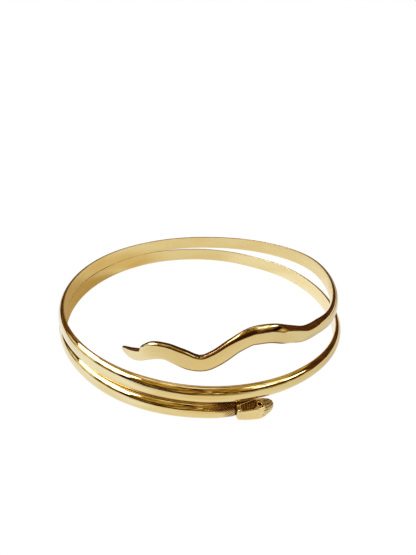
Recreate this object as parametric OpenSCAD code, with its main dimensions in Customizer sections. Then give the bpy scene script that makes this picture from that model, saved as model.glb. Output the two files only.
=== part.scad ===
// Upper arm cuff in the form of a coiled snake, bent from one length of half-round
// brass band. It lies on its head and the back of its lower turn, with the arm's way
// straight up, along +Z.
// Lengths are in millimetres, angles in degrees.

/* [Coil] */
// Inside diameter of the round coil
inner_d = 80; // [60:1:110]
// Height of the band, measured along the arm
band_h = 4.5; // [3.5:0.1:7]
// Thickness of the band at the crown of its outer face
band_t = 1.8; // [1.2:0.1:3]
// Air between the two turns where the upper one lies over the lower one
turn_gap = 0.15; // [0.1:0.05:1]

/* [Head] */
// Length of the head, from its collar to the end of the snout
head_l = 9.6; // [7:0.1:13]
// How far the crown of the head stands out over the band
head_proud = 1.1; // [0.4:0.1:1.6]
// Height of the raised scales on the snout
scale_relief = 0.16; // [0.05:0.01:0.3]
// Diameter of each drilled eye
eye_d = 0.8; // [0.5:0.1:1.1]
// Depth of each drilled eye
eye_deep = 0.6; // [0.3:0.1:0.8]

/* [Tail] */
// Thickness of the flattened tail at its last wave
tail_t = 1.1; // [0.8:0.1:1.8]
// Height of the tail's waves, as a share of the waves in the first casting
wave = 1; // [0.6:0.05:1.2]

/* [Hidden] */

// Where the coil's count of degrees starts, with 0 at +X. The band runs clockwise.
start_at = -74;
// The collar's place along the coil, and the same place round it
collar = 1.4;
collar_at = start_at - collar;
// One turn's lift, where the upper turn lies over the lower one
stack = band_h + turn_gap;
// The head is as high as the band, so the upper turn passes clear over it
head_h = band_h;
head_t = band_t + head_proud;
// Where the half-round band begins to flatten into the tail, and where it is flat
blade_from = 702;
blade_full = 710;
// The waves swing about this lift, in turns' lifts
wave_mid = 3.5;
// Steps between the rings along the coil, along the tail and along the head
coil_step = 2.6;
tail_step = 1.15;
head_steps = 30;

// Inside radius. Columns: degrees along the coil, share of the coil's inside radius
radius_rows = [
    [0, 1.005], [40, 1.002], [62, 1], [85, 1.004], [130, 1.007], [175, 1.005],
    [220, 1.019], [265, 1.013], [310, 1.019], [350, 1.007], [395, 0.985], [422, 0.988],
    [440, 0.995], [485, 1.003], [530, 0.995], [575, 0.993], [620, 0.989], [662, 0.956],
    [694, 0.982], [762, 0.984]];

// Lift of the coil. The cuff lies on its head and on the back of its lower turn.
// Columns: degrees along the coil, turns' lifts
lift_rows = [
    [0, 0], [6, 0], [13, 0.035], [20, 0.055], [45, 0.045], [62, 0.055], [80, 0.03],
    [120, 0], [218, 0], [245, 0.221], [275, 0.469], [305, 0.749], [335, 0.979],
    [346, 1.012], [356, 1.05], [366, 1.05], [380, 1.062], [395, 1.084], [412, 1.095],
    [425, 1.09], [445, 1.066], [490, 1.04], [530, 1.043], [560, 1.233], [590, 1.698],
    [620, 2.288], [650, 2.61], [675, 3.059], [689, 3.499]];

// Waves of the tail. Columns: degrees along the coil, turns' lifts
wave_rows = [
    [689, 3.499], [698, 3.667], [705, 4.09], [711, 4.43], [717, 4.512], [723, 4.1],
    [729, 3.366], [732.3, 3.073], [734.3, 3.021], [736.3, 3.056], [741, 3.322],
    [745.5, 3.519], [749, 3.452], [751.5, 3.228], [753, 3.041], [754.5, 2.955],
    [756, 2.913], [757.5, 2.925], [758.7, 2.973], [759.8, 3.03], [760.6, 3.084]];

// Height and thickness of the band. Columns: degrees along the coil, share of the
// band's height, share of the band's thickness, share of the tail's
size_rows = [
    [1.4, 0.94, 0.84, 0], [3.8, 0.94, 0.86, 0], [8, 0.95, 1, 0], [20, 0.965, 1, 0],
    [40, 1, 1, 0], [340, 1, 1, 0], [356, 1.03, 1, 0], [368, 1.06, 1, 0], [380, 1.05, 1, 0],
    [395, 1.08, 1, 0], [412, 1.09, 1, 0], [425, 1.08, 1, 0], [445, 1.03, 1, 0],
    [470, 1, 1, 0], [680, 0.98, 1, 0], [694, 1, 0.95, 0], [702, 1.009, 0.75, 0.229],
    [708, 1.014, 0.6, 0.4], [716, 1.03, 0.44, 0.587], [723, 0.887, 0.3, 0.75],
    [731, 0.924, 0.15, 0.875], [734.3, 0.939, 0.088, 0.927], [739, 1.04, 0, 1],
    [745, 0.955, 0, 0.95], [749, 0.993, 0, 0.917], [751.7, 0.853, 0, 0.882],
    [753, 0.668, 0, 0.85], [754.5, 0.692, 0, 0.81], [756, 0.7, 0, 0.77],
    [757.5, 0.613, 0, 0.71], [758.7, 0.48, 0, 0.65], [759.8, 0.32, 0, 0.57],
    [760.6, 0.1, 0, 0.5]];

// Height of the ridge on the flattened tail. Columns: degrees, share of its height
ridge_rows = [[702, 0.8], [712, 0.81], [722, 0.88], [734.3, 0.9], [745, 0.87],
    [753, 0.88], [760.6, 0.86]];

// Outline of the band's outer side, from its lower edge to its upper edge.
// Columns: height and depth on the half-round band; height and depth on the tail,
// where a height of 0 to 1 is below the ridge and 1 to 2 is above it; height and
// depth on the head. Depths are shares of the thickness there.
outline_rows = [
    [0, 0.14, 0, 0.45, 0, 0.2],
    [0.03, 0.36, 0.05, 0.8, 0.065, 0.66],
    [0.1, 0.6, 0.13, 0.97, 0.1, 0.93],
    [0.2, 0.8, 0.3, 1, 0.15, 1],
    [0.34, 0.95, 0.5, 1, 0.32, 1],
    [0.5, 1, 0.72, 1, 0.5, 1],
    [0.66, 0.95, 0.9, 1, 0.68, 1],
    [0.8, 0.8, 1, 0.98, 0.85, 1],
    [0.9, 0.6, 1.15, 0.85, 0.9, 0.93],
    [0.97, 0.36, 1.6, 0.58, 0.935, 0.66],
    [1, 0.14, 2, 0.35, 1, 0.2]];

// The head is a block with a wider foot, which is the band's own height at the collar.
// Columns: share of its length from the collar, shares of its height for the foot and
// for the block's upper and lower half, share of its thickness
head_rows = [
    [0.015, 0.94, 0.9, 0.6, 0.91], [0.05, 0.94, 0.92, 0.66, 0.95],
    [0.11, 0.95, 0.93, 0.74, 0.98], [0.2, 0.96, 0.94, 0.82, 1], [0.31, 0.98, 0.96, 0.92, 1],
    [0.42, 0.99, 0.98, 0.99, 1], [0.5, 0.98, 1, 1, 1], [0.6, 0.96, 0.98, 1, 0.98],
    [0.66, 0.95, 0.95, 0.98, 0.93], [0.74, 0.9, 0.88, 0.93, 0.8],
    [0.82, 0.8, 0.77, 0.84, 0.67], [0.9, 0.62, 0.6, 0.67, 0.52],
    [0.96, 0.4, 0.4, 0.44, 0.4], [1, 0.2, 0.2, 0.22, 0.3]];

// Where the snout's scales lie along the head, and how many rows there are
scales_from = 0.64;
scales_to = 0.97;
scale_rows = 4;
scale_lines = 4;
// Place of the eyes: along the head, and the outline's rows that they are drilled at
eye_along = 0.55;
eye_rows = [1, 9];
// Slope of the cheeks that the eyes are drilled into, from the crown's own direction
cheek = 78;

// Smooth curve through one column of a table, level at its highest and lowest rows
function rise(t, c, k) = (t[k + 1][c] - t[k][c]) / (t[k + 1][0] - t[k][0]);
function slope(t, c, k) =
    k == 0 ? rise(t, c, 0) : k == len(t) - 1 ? rise(t, c, k - 1)
    : let (before = rise(t, c, k - 1), after = rise(t, c, k),
           w0 = t[k][0] - t[k - 1][0], w1 = t[k + 1][0] - t[k][0])
      before * after <= 0 ? 0 : (before * w1 + after * w0) / (w0 + w1);
function row_of(t, a, k = 0) = k >= len(t) - 2 || a < t[k + 1][0] ? k : row_of(t, a, k + 1);
function smooth(t, c, a) =
    let (k = row_of(t, a), w = t[k + 1][0] - t[k][0], u = (a - t[k][0]) / w)
    (2 * u ^ 3 - 3 * u ^ 2 + 1) * t[k][c] + (u ^ 3 - 2 * u ^ 2 + u) * w * slope(t, c, k)
    + (3 * u ^ 2 - 2 * u ^ 3) * t[k + 1][c] + (u ^ 3 - u ^ 2) * w * slope(t, c, k + 1);
// Straight lines through one column of a table
function straight(t, c, a) = lookup(a, [for (r = t) [r[0], r[c]]]);

// Middle of the band's inner face
function lift(a) = stack * (a < lift_rows[len(lift_rows) - 1][0] ? smooth(lift_rows, 1, a)
    : wave_mid + wave * (smooth(wave_rows, 1, a) - wave_mid) + (1 - wave) * settle(a));
// Keeps the start of the tail on the coil when the waves are made lower
function settle(a) = (wave_rows[0][1] - wave_mid) * max(0, 1 - (a - wave_rows[0][0]) / 9);
function spine(a) =
    let (r = inner_d / 2 * smooth(radius_rows, 1, a), p = start_at - a)
    [r * cos(p), r * sin(p), band_h / 2 + lift(a)];
function unit(v) = v / norm(v);
// Directions along the band, out of it and up its height
function along(a) = unit(spine(a + 0.2) - spine(a - 0.2));
function outward(a) =
    let (p = start_at - a, n = [cos(p), sin(p), 0], t = along(a))
    unit(n - (n * t) * t);

// How far the outline has changed from half-round to flattened
function blade(a) = min(1, max(0, (a - blade_from) / (blade_full - blade_from)));
function thickness(a) = band_t * straight(size_rows, 2, a) + tail_t * straight(size_rows, 3, a);
function height(a) = band_h * straight(size_rows, 1, a);
function tail_up(u, ridge) = u < 1 ? u * ridge : ridge + (u - 1) * (1 - ridge);
// Height and depth of each point of the outline, with the inner face's two corners
function outline(a) =
    let (b = blade(a), ridge = straight(ridge_rows, 1, a), t = thickness(a), h = height(a))
    concat([[-h / 2, 0]],
        [for (r = outline_rows)
            [h * ((1 - b) * r[0] + b * tail_up(r[2], ridge) - 0.5),
             t * ((1 - b) * r[1] + b * r[3])]],
        [[h / 2, 0]]);
function ring(a) =
    let (c = spine(a), n = outward(a), up = cross(along(a), outward(a)))
    [for (q = outline(a)) c + q[0] * up + q[1] * n];

// The head runs straight on from the collar. The snout's scales stand out from it, in
// rows across it that are parted by lines along it
function scale_at(s, i) =
    s < scales_from || s > scales_to || i < 1 || i > head_n - 4 ? 0
    : scale_relief * abs(sin(180 * scale_rows * (s - scales_from) / (scales_to - scales_from)))
      * abs(sin(180 * scale_lines * (i - 1) / (head_n - 4)));
// The head's outline at share s of its length: the rows, with one point between each
function head_outline(s) =
    let (foot = head_h * straight(head_rows, 1, s), t = head_t * straight(head_rows, 4, s),
         upper = head_h * straight(head_rows, 2, s), lower = head_h * straight(head_rows, 3, s),
         base = concat([[-foot / 2, 0]],
                       [for (r = outline_rows)
                           [(r[4] < 0.5 ? lower : upper) * (r[4] - 0.5), t * r[5]]],
                       [[foot / 2, 0]]),
         n = len(base),
         full = [for (i = [0:n - 1]) each [base[i], (base[i] + base[(i + 1) % n]) / 2]])
    [for (i = [0:head_n - 1]) [full[i][0], full[i][1] + scale_at(s, i)]];
function on_head(s, up, out) =
    let (r = inner_d / 2 * radius_rows[0][1] + out, x = s * head_l)
    [r * cos(collar_at) - x * sin(collar_at), r * sin(collar_at) + x * cos(collar_at),
     head_h / 2 + up];
function head_ring(s) = [for (q = head_outline(s)) on_head(s, q[0], q[1])];

head_first = head_rows[0][0];
head_stations = [for (k = [head_steps:-1:0]) head_first + (1 - head_first) * k / head_steps];
tail_from = wave_rows[0][0];
tail_end = wave_rows[len(wave_rows) - 1][0];
band_stations = concat([for (a = [collar:coil_step:tail_from - coil_step / 2]) a],
    [for (a = [tail_from:tail_step:tail_end - tail_step / 2]) a], [tail_end]);

// Corners in one ring of the band and in one ring of the head
band_n = len(outline_rows) + 2;
head_n = 2 * band_n;
head_points = [for (s = head_stations) each head_ring(s)];
band_points = [for (a = band_stations) each ring(a)];
band_at = len(head_points);
last_at = band_at + len(band_points) - band_n;
snout = on_head(1, 0, 0.2 * head_t);
tip = spine(tail_end) + 0.25 * tail_t * outward(tail_end);
all_points = concat(head_points, band_points, [snout, tip]);
snout_at = len(all_points) - 2;
tip_at = len(all_points) - 1;

// Two triangles for each step round a tube of rings of n corners
function tube(first, rings, n) =
    [for (k = [0:rings - 2], i = [0:n - 1])
        let (p = first + k * n + i, q = first + k * n + (i + 1) % n)
        each [[p, p + n, q + n], [p, q + n, q]]];
// The collar, where the head's ring of twice as many corners meets the band's
function collar_faces(h, b) =
    [for (i = [0:band_n - 1])
        let (p = h + 2 * i, m = h + 2 * i + 1, q = h + (2 * i + 2) % head_n,
             c = b + i, d = b + (i + 1) % band_n)
        each [[p, c, m], [m, c, d], [m, d, q]]];

module body() {
    polyhedron(points = all_points, convexity = 8, faces = concat(
        [for (i = [0:head_n - 1]) [snout_at, i, (i + 1) % head_n]],
        tube(0, len(head_stations), head_n),
        collar_faces(band_at - head_n, band_at),
        tube(band_at, len(band_stations), band_n),
        [for (i = [0:band_n - 1]) [tip_at, last_at + (i + 1) % band_n, last_at + i]]));
}

// One eye's drill, square to the cheek that it enters
module eye(row) {
    r = outline_rows[row];
    side = sign(r[4] - 0.5);
    translate(on_head(eye_along, head_h * (r[4] - 0.5), head_t * r[5]))
        rotate([0, 0, collar_at])
        rotate([0, 90 - side * cheek, 0])
        translate([0, 0, -eye_deep])
        cylinder(h = eye_deep + band_t, d = eye_d, $fn = 24);
}

module snake() {
    color([0.83, 0.66, 0.3])
    difference() {
        body();
        for (row = eye_rows) eye(row);
    }
}

snake();
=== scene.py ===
# %% [markdown]
# # A coiled snake arm cuff in polished brass
#
# The cuff is one length of half-round brass band. Its head is cast with a collar and
# drilled eyes, the band runs a little over two turns, and it ends in a wavy tail that was
# flattened and filed. Each cell below makes one piece or one finish of it. The first cell
# loads the fixed model that everything has to fit.

# %% Load the frame
import math

import bmesh
import bpy
from mathutils import Matrix, Vector


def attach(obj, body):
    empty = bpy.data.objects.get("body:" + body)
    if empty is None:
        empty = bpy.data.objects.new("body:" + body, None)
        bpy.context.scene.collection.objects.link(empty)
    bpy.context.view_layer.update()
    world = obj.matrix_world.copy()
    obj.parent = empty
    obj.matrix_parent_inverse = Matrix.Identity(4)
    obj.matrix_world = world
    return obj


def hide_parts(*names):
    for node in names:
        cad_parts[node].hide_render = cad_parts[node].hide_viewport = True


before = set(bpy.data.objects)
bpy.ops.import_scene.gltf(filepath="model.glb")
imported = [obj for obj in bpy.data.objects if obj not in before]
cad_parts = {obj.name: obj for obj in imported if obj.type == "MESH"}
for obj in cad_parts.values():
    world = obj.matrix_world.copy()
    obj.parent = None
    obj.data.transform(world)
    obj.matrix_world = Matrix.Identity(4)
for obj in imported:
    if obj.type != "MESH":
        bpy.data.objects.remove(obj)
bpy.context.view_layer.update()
MM = 0.001

# %% [markdown]
# ## The camera
#
# The camera looks down at the cuff from close by, so the near strands look larger than the
# far ones. A long lens from further away would flatten that, and the two turns would no
# longer part where they do in the picture. It is placed by a matrix: a step to its place,
# a tilt about its own X axis, and a small roll about the way that it looks.

# %% Place the camera
# Where it stands, and how far it looks down and rolls in degrees
CAMERA_AT = Vector((2.064, -115.56, 81.67)) * MM
CAMERA_DOWN, CAMERA_ROLL = 29.896, 3.147
# Its lens and sensor in mm, and the nearest and furthest that it sees in metres
LENS, SENSOR = 28.90, 36
NEAREST, FURTHEST = 0.001, 50


def shown(name, data):
    """A new object in the scene."""
    made = bpy.data.objects.new(name, data)
    bpy.context.scene.collection.objects.link(made)
    return made


lens = bpy.data.cameras.new("camera")
lens.lens = LENS
lens.sensor_width = SENSOR
lens.clip_start = NEAREST
lens.clip_end = FURTHEST
camera = shown("camera", lens)
camera.matrix_world = (
    Matrix.Translation(CAMERA_AT)
    @ Matrix.Rotation(math.radians(90 - CAMERA_DOWN), 4, "X")
    @ Matrix.Rotation(math.radians(CAMERA_ROLL), 4, "Z"))
bpy.context.scene.camera = camera
print("camera is", round(CAMERA_AT.length / MM), "mm from the middle of the coil")

# %% [markdown]
# ## The path of the band
#
# A hand-bent coil isn't a true spiral, so its path is kept in short tables: how far out the
# band runs, and how high it lies, at some places round the coil. A smooth curve through the
# rows fills in what is between. A curve object could carry such a path, but it turns its
# profile by itself. A small function that says where the band is, which way it runs and
# which way it faces keeps all of that in one place.

# %% Curves through a table
def straight(table, column, at):
    """Straight lines through one column of a table, whose first column is the place."""
    if at <= table[0][0]:
        return table[0][column]
    for low, high in zip(table, table[1:]):
        if at <= high[0]:
            share = (at - low[0]) / (high[0] - low[0])
            return low[column] + share * (high[column] - low[column])
    return table[-1][column]


def slope(table, column, k):
    """Slope at row k, level at the highest and lowest rows."""
    def rise(j):
        return (table[j + 1][column] - table[j][column]) / (table[j + 1][0] - table[j][0])
    if k == 0:
        return rise(0)
    if k == len(table) - 1:
        return rise(k - 1)
    before, after = rise(k - 1), rise(k)
    if before * after <= 0:
        return 0
    w0, w1 = table[k][0] - table[k - 1][0], table[k + 1][0] - table[k][0]
    return (before * w1 + after * w0) / (w0 + w1)


def smooth(table, column, at):
    """A smooth curve through one column of a table."""
    k = max(0, min(len(table) - 2, sum(row[0] <= at for row in table) - 1))
    width = table[k + 1][0] - table[k][0]
    u = (at - table[k][0]) / width
    return ((2 * u**3 - 3 * u**2 + 1) * table[k][column]
            + (u**3 - 2 * u**2 + u) * width * slope(table, column, k)
            + (3 * u**2 - 2 * u**3) * table[k + 1][column]
            + (u**3 - u**2) * width * slope(table, column, k + 1))


# %% A soft step
def fade(low, high, at):
    """0 below low, 1 above high, and a soft step between them."""
    u = min(1, max(0, (at - low) / (high - low)))
    return u * u * (3 - 2 * u)


print("a quarter of the way, a soft step is at", fade(0, 1, 0.25))

# %% Sizes of the band
# Inside diameter of the coil, height and thickness of the band, thickness of the flat
# tail, and the rise of a turn that lies on another, in mm
INNER_D = 80
BAND_H, BAND_T = 4.5, 1.8
TAIL_T = 1.1
STACK = BAND_H + 0.15
# Degrees round the coil where the count along it starts, and the collar's place in it
START_AT = -74
COLLAR = 1.4
print("the band is", BAND_H, "by", BAND_T, "mm, and a turn rises", round(STACK, 2), "mm")

# %% The coil's path
# Degrees along the coil, share of the coil's inside radius
RADIUS_ROWS = [
    [0, 1.005], [40, 1.002], [62, 1], [85, 1.004], [130, 1.007], [175, 1.005],
    [220, 1.019], [265, 1.013], [310, 1.019], [350, 1.007], [395, 0.985], [422, 0.988],
    [440, 0.995], [485, 1.003], [530, 0.995], [575, 0.993], [620, 0.989], [662, 0.956],
    [694, 0.982], [762, 0.984]]
# Degrees along the coil, lift in turns
LIFT_ROWS = [
    [0, 0], [6, 0], [13, 0.035], [20, 0.055], [45, 0.045], [62, 0.055], [80, 0.03],
    [120, 0], [218, 0], [245, 0.221], [275, 0.469], [305, 0.749], [335, 0.979],
    [346, 1.012], [356, 1.05], [366, 1.05], [380, 1.062], [395, 1.084], [412, 1.095],
    [425, 1.09], [445, 1.066], [490, 1.04], [530, 1.043], [560, 1.233], [590, 1.698],
    [620, 2.288], [650, 2.61], [675, 3.059], [689, 3.499]]
# The same in the tail's waves
WAVE_ROWS = [
    [689, 3.499], [698, 3.667], [705, 4.09], [711, 4.43], [717, 4.512], [723, 4.1],
    [729, 3.366], [732.3, 3.073], [734.3, 3.021], [736.3, 3.056], [741, 3.322],
    [745.5, 3.519], [749, 3.452], [751.5, 3.228], [753, 3.041], [754.5, 2.955],
    [756, 2.913], [757.5, 2.925], [758.7, 2.973], [759.8, 3.03], [760.6, 3.084]]
TAIL_FROM, TAIL_END = WAVE_ROWS[0][0], WAVE_ROWS[-1][0]
print("the tail runs from", TAIL_FROM, "to", TAIL_END, "degrees along the coil")

# %% How the band swells and flattens
# Degrees along the coil, share of the band's height, of its thickness, of the tail's
SIZE_ROWS = [
    [1.4, 0.94, 0.84, 0], [3.8, 0.94, 0.86, 0], [8, 0.95, 1, 0], [20, 0.965, 1, 0],
    [40, 1, 1, 0], [340, 1, 1, 0], [356, 1.03, 1, 0], [368, 1.06, 1, 0],
    [380, 1.05, 1, 0], [395, 1.08, 1, 0], [412, 1.09, 1, 0], [425, 1.08, 1, 0],
    [445, 1.03, 1, 0], [470, 1, 1, 0], [680, 0.98, 1, 0], [694, 1, 0.95, 0],
    [702, 1.009, 0.75, 0.229], [708, 1.014, 0.6, 0.4], [716, 1.03, 0.44, 0.587],
    [723, 0.887, 0.3, 0.75], [731, 0.924, 0.15, 0.875], [734.3, 0.939, 0.088, 0.927],
    [739, 1.04, 0, 1], [745, 0.955, 0, 0.95], [749, 0.993, 0, 0.917],
    [751.7, 0.853, 0, 0.882], [753, 0.668, 0, 0.85], [754.5, 0.692, 0, 0.81],
    [756, 0.7, 0, 0.77], [757.5, 0.613, 0, 0.71], [758.7, 0.48, 0, 0.65],
    [759.8, 0.32, 0, 0.57], [760.6, 0.1, 0, 0.5]]
# Degrees along the coil, share of the band's height where the tail's ridge lies
RIDGE_ROWS = [
    [700, 0.64], [704, 0.64], [708.5, 0.67], [712, 0.72], [715.7, 0.7], [719, 0.72],
    [722, 0.83], [725, 0.88], [734.3, 0.9], [745, 0.87], [753, 0.88], [760.6, 0.86]]
# Degrees where the dome begins to turn into the tail's blade, and where it has
BLADE_FROM, BLADE_FULL = 700, 708
print("the band's size is given at", len(SIZE_ROWS), "places")

# %% Where the band is
# How far each way the band's direction is measured, in degrees
NUDGE = 0.2


def spine(a):
    """Middle of the band's inner face, a degrees along the coil, in mm."""
    lift = smooth(LIFT_ROWS, 1, a) if a < TAIL_FROM else smooth(WAVE_ROWS, 1, a)
    turned = math.radians(START_AT - a)
    out = INNER_D / 2 * smooth(RADIUS_ROWS, 1, a)
    return Vector((out * math.cos(turned), out * math.sin(turned),
                   BAND_H / 2 + STACK * lift))


def axes(a):
    """Directions along the band, out of it, and up its height."""
    along = (spine(a + NUDGE) - spine(a - NUDGE)).normalized()
    turned = math.radians(START_AT - a)
    out = Vector((math.cos(turned), math.sin(turned), 0))
    out = (out - out.dot(along) * along).normalized()
    return along, out, along.cross(out)


length = sum((spine(a + 1) - spine(a)).length for a in range(int(TAIL_END)))
print("the band is", round(length), "mm long from collar to tip")

# %% [markdown]
# ## The band's outline
#
# Half-round band is flat inside and domed outside, with a thin edge left above and below,
# and its corners are a little worn. The tail began as the same band: it was hammered flat
# and its face was filed, which leaves a ridge near the upper edge. Both outlines have the
# same number of points, so one can turn into the other along the tail.

# %% The dome's outline
# Points over the dome, thickness of its edge as a share, and half of its arc
OUTER_POINTS = 52
EDGE = 0.14
HALF_ARC = math.radians(80)


def half_round(u):
    """Height and depth, as shares, of a point that is u of the way up the dome."""
    t = HALF_ARC * (2 * u - 1)
    rim = math.cos(HALF_ARC)
    return (0.5 + 0.5 * math.sin(t) / math.sin(HALF_ARC),
            EDGE + (1 - EDGE) * (math.cos(t) - rim) / (1 - rim))


print("the dome's middle:", half_round(0.5))

# %% The blade's outline
# Share of the way up the outline, height (1 is the ridge, 2 the upper edge), depth where
# the ridge is high and where it is low
BLADE_OUTLINE = [
    [0, 0, 0.45, 0.45], [0.05, 0.02, 0.72, 0.72], [0.1, 0.06, 0.88, 0.88],
    [0.16, 0.13, 0.97, 0.97], [0.24, 0.24, 1, 1], [0.6, 0.9, 1, 1], [0.64, 0.975, 1, 1],
    [0.665, 1, 0.99, 0.985], [0.69, 1.12, 0.97, 0.93], [0.735, 1.34, 0.93, 0.82],
    [0.78, 1.53, 0.86, 0.71], [0.825, 1.7, 0.77, 0.6], [0.87, 1.83, 0.67, 0.51],
    [0.915, 1.93, 0.55, 0.42], [0.96, 1.98, 0.43, 0.37], [1, 2, 0.34, 0.34]]
# Shares of the band's height between which a low ridge turns into a high one
RIDGE_LOW, RIDGE_HIGH = 0.74, 0.87
print("the blade's outline has", len(BLADE_OUTLINE), "corners")

# %% The whole outline
# Radius of the worn corners in mm. Each is at most one of so many parts of the height and
# of the thickness, and its middle point lies at these shares of the radius
CORNER, HEIGHT_PARTS, THICKNESS_PARTS = 0.09, 8, 5
WORN_UP, WORN_OUT = 0.7, 0.3
# The outer face starts this many corner radii out, and the flat inner face has points at
# these quarters of its half height
OUTER_FROM = 1.5
INNER_POINTS = 3.6, 2, 0, -2, -3.6
# Degrees along the coil, how far the band's edge was drawn down and up in mm, so that the
# two turns touch where they press on each other
TOUCH_ROWS = [
    [0, 0, 0], [10, 0, 0.12], [20, 0, 0.2], [60, 0, 0.22], [75, 0, 0], [355, 0, 0],
    [368, 0.12, 0], [385, 0.18, 0], [412, 0.2, 0], [432, 0, 0]]


def sizes(a):
    """The band's height and thickness in mm, and its ridge as a share of the height."""
    high = BAND_H * straight(SIZE_ROWS, 1, a)
    thick = BAND_T * straight(SIZE_ROWS, 2, a) + TAIL_T * straight(SIZE_ROWS, 3, a)
    return high, thick, straight(RIDGE_ROWS, 1, a)


def band_outline(a):
    """The plain outline at a degrees along the coil: places up and out, in mm."""
    blade = fade(BLADE_FROM, BLADE_FULL, a)
    high, thick, ridge = sizes(a)
    low_ridge = 1 - fade(RIDGE_LOW, RIDGE_HIGH, ridge)
    corner = min(CORNER, high / HEIGHT_PARTS, thick / THICKNESS_PARTS)
    inside = high / 2 - corner
    worn = inside + WORN_UP * corner, WORN_OUT * corner
    ring = [(-inside, 0), (-worn[0], worn[1]), (-high / 2, corner)]
    for k in range(OUTER_POINTS + 1):
        u = k / OUTER_POINTS
        dome_up, dome_out = half_round(u)
        z = straight(BLADE_OUTLINE, 1, u)
        blade_up = z * ridge if z < 1 else ridge + (z - 1) * (1 - ridge)
        up = dome_up + blade * (blade_up - dome_up)
        blade_out = (straight(BLADE_OUTLINE, 2, u) * (1 - low_ridge)
                     + straight(BLADE_OUTLINE, 3, u) * low_ridge)
        out = dome_out + blade * (blade_out - dome_out)
        ring.append((high * (up - 0.5), max(OUTER_FROM * corner, thick * out)))
    ring += [(high / 2, corner), worn, (inside, 0)]
    ring += [(inside * k / 4, 0) for k in INNER_POINTS]
    drawn = [straight(TOUCH_ROWS, k, a) for k in (1, 2)]
    return [(up * (1 + 2 * drawn[up > 0] / high), out) for up, out in ring]


print("the band's outline has", len(band_outline(0)), "points")

# %% [markdown]
# ## Chasing
#
# The neck's small scales, the sunk panels and the nicks were struck into the metal with
# punches. A bump map could fake them, but they would vanish from the outline and from the
# mesh. So each outline is moved in or out along its own normal before the skin is made. Each
# point also notes how much brown it gets: oxide that stays in a hollow when the rest is
# polished, and painted shade and painted dark reflections on some edges and faces. It also
# notes how dull its surface was left.

# %% Relief on an outline
# Keeps a division from failing where two points lie in one place
TINY = 1e-9


def struck(ring, relief):
    """Moves an outline by relief(up, out, girth, facing), which gives the lift in mm, the
    brown and the dullness. The brown is oxide in hollows, and painted shade and painted dark
    reflections elsewhere. Facing is 1 where the surface looks up and -1 where down."""
    points, girth = [], 0.0
    for k, (up, out) in enumerate(ring):
        before, after = ring[k - 1], ring[(k + 1) % len(ring)]
        du, do = after[0] - before[0], after[1] - before[1]
        size = math.hypot(du, do) + TINY
        lift, oxide_and_shade, dull = relief(up, out, girth, -do / size)
        points.append((up - lift * do / size, out + lift * du / size, oxide_and_shade, dull))
        girth += math.dist((up, out), after)
    return points


def scales(x, w, pitch):
    """1 in the middle of each scale and 0 in the grooves, on a lattice of diamonds."""
    return math.sqrt(abs(math.sin(math.pi * (x + w) / pitch)
                         * math.sin(math.pi * (x - w) / pitch)))


def dent(at, middle, width):
    """A soft dent: 1 in its middle, near 0 at twice its width away."""
    return math.exp(-((at - middle) / width) ** 2)


print("a dent two widths away:", round(dent(2, 0, 1), 3))

# %% [markdown]
# ## Bending the band
#
# The band starts as a flat grid of faces: one way along it is the band's length, the other
# is once round its outline. Each vertex is then carried to its place on the path, as a
# strip of sheet is bent round a former. The places along and round go into a UV map in
# millimetres, so that polishing lines can follow the bend. Extruding the outline step by
# step would give the same faces, but the grid keeps its order, which makes the next tools
# easy to aim.

# %% A sheet that is wrapped into a tube
# Points that lie closer than this are one, in mm
SAME_PLACE = 1e-5


def run_along(points):
    """How far along a line each of its points lies."""
    run = [0.0]
    for p, q in zip(points, points[1:]):
        run.append(run[-1] + math.dist(p, q))
    return run


def wrapped(stations, ring_at, place):
    """A closed tube: ring_at(s) gives the struck outline, place(s, up, out) a point."""
    rings = [ring_at(s) for s in stations]
    around, steps = len(rings[0]), len(stations) - 1
    spots = [[place(s, *point[:2]) for point in ring] for s, ring in zip(stations, rings)]
    run = run_along([ring[around // 2] for ring in spots])
    girths = [run_along([point[:2] for point in ring + ring[:1]]) for ring in rings]

    bm = bmesh.new()
    bmesh.ops.create_grid(bm, x_segments=steps, y_segments=around, size=1)
    uv = bm.loops.layers.uv.new("sheet")
    oxide_and_shade = bm.verts.layers.float.new("oxide_and_shade")
    dull = bm.verts.layers.float.new("dull")
    index = {v: (round((v.co.x + 1) / 2 * steps), round((v.co.y + 1) / 2 * around))
             for v in bm.verts}
    for face in bm.faces:
        for loop in face.loops:
            i, k = index[loop.vert]
            loop[uv].uv = (run[i], girths[i][k])
    for v, (i, k) in index.items():
        v.co = spots[i][k % around]
        v[oxide_and_shade], v[dull] = rings[i][k % around][2:]
    bmesh.ops.remove_doubles(bm, verts=bm.verts, dist=SAME_PLACE)
    ends = bmesh.ops.holes_fill(bm, edges=bm.edges, sides=0)
    bmesh.ops.poke(bm, faces=ends["faces"])
    bmesh.ops.recalc_face_normals(bm, faces=bm.faces)
    return bm


# %% A finished piece
def finished(bm, name):
    """Makes the mesh an object at the origin, in metres, smooth all over. It rides on the
    frame and hides the plain solid."""
    bmesh.ops.scale(bm, vec=(MM, MM, MM), verts=bm.verts)
    for face in bm.faces:
        face.smooth = True
    mesh = bpy.data.meshes.new(name)
    bm.to_mesh(mesh)
    bm.free()
    piece = shown(name, mesh)
    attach(piece, "root")
    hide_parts("snake")
    triangles = sum(len(p.vertices) - 2 for p in mesh.polygons)
    print(name, "has", triangles, "triangles")
    return piece


# %% [markdown]
# ## The coil and its tail
#
# The coil itself is plain. Behind the collar it has a groove and small crossed scales that
# thin out along the neck, and the tail has a crease and a nick in its upper edge. Brown
# oxide was left in them. The same brown is painted as shade in the groove under the collar's
# step, along the upper edge, where the two turns press and on the neck's upper half. It is
# painted as dark reflections on the tail's upper facet, just above its ridge and on its
# lower edge. Oxide, painted shade and dullness could be painted on in the material, but then
# the paint would need its own map. Here they are noted at each point together with the
# dents, so the two always lie in the same place.

# %% What was struck into the neck
# The scales: pitch, height, how far they reach along the lower half of the band, and how
# much further along the upper half, in mm
NECK_PITCH, NECK_RELIEF = 0.62, 0.08
NECK_REACH, NECK_REACH_UP = 4.5, 3.5
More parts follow.
